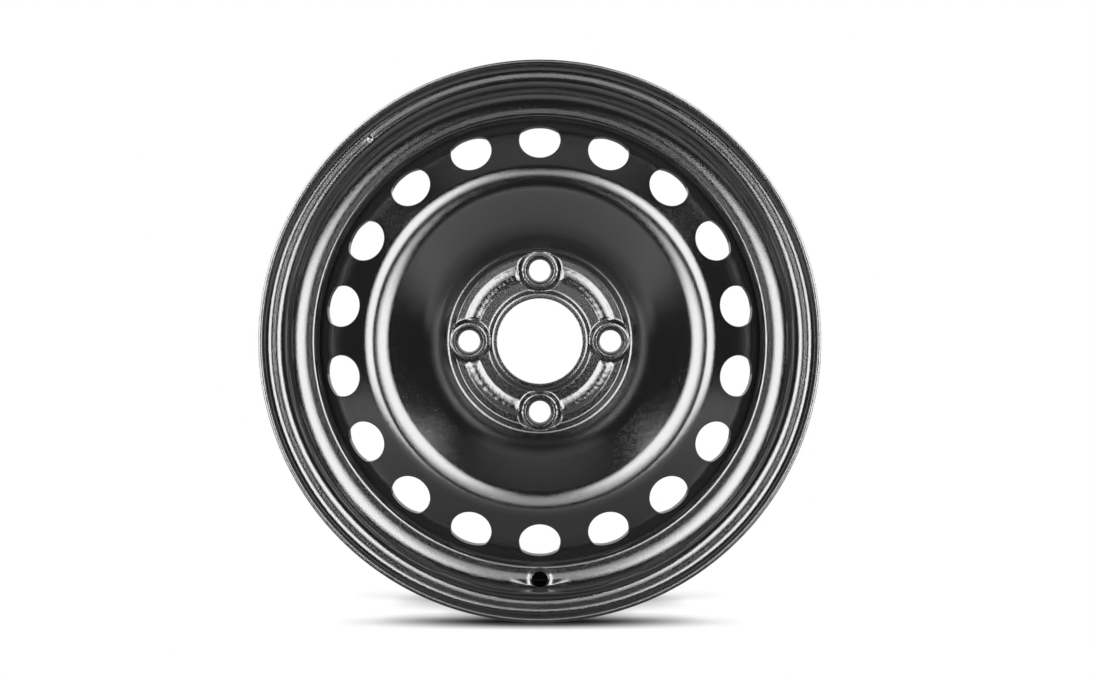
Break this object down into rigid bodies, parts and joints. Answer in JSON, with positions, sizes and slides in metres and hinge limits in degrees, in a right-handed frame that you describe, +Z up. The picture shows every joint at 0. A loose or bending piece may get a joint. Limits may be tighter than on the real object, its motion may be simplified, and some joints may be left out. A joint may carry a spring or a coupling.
{
  "type": "steel wheel",
  "caption": "Black painted pressed-steel road wheel: rolled rim with a drop centre, welded disc with a ring of round vent holes, bolt seats and a wide hub bore.",
  "frame": {"origin": "centre of the wheel, on the axle line half-way between the rim flanges", "axes": "+Y along the axle towards the vehicle, -Y to the street side, +Z up, valve hole at the bottom"},
  "size_m": [0.4148, 0.1774, 0.4146],
  "materials": {
    "wheel_paint": "glossy black dip paint over pressed steel, with a fine orange peel"
  },
  "bodies": {
    "root": {"rim": "wheel_paint", "disc": "wheel_paint", "disc_welds": "wheel_paint"}
  },
  "joints": []
}
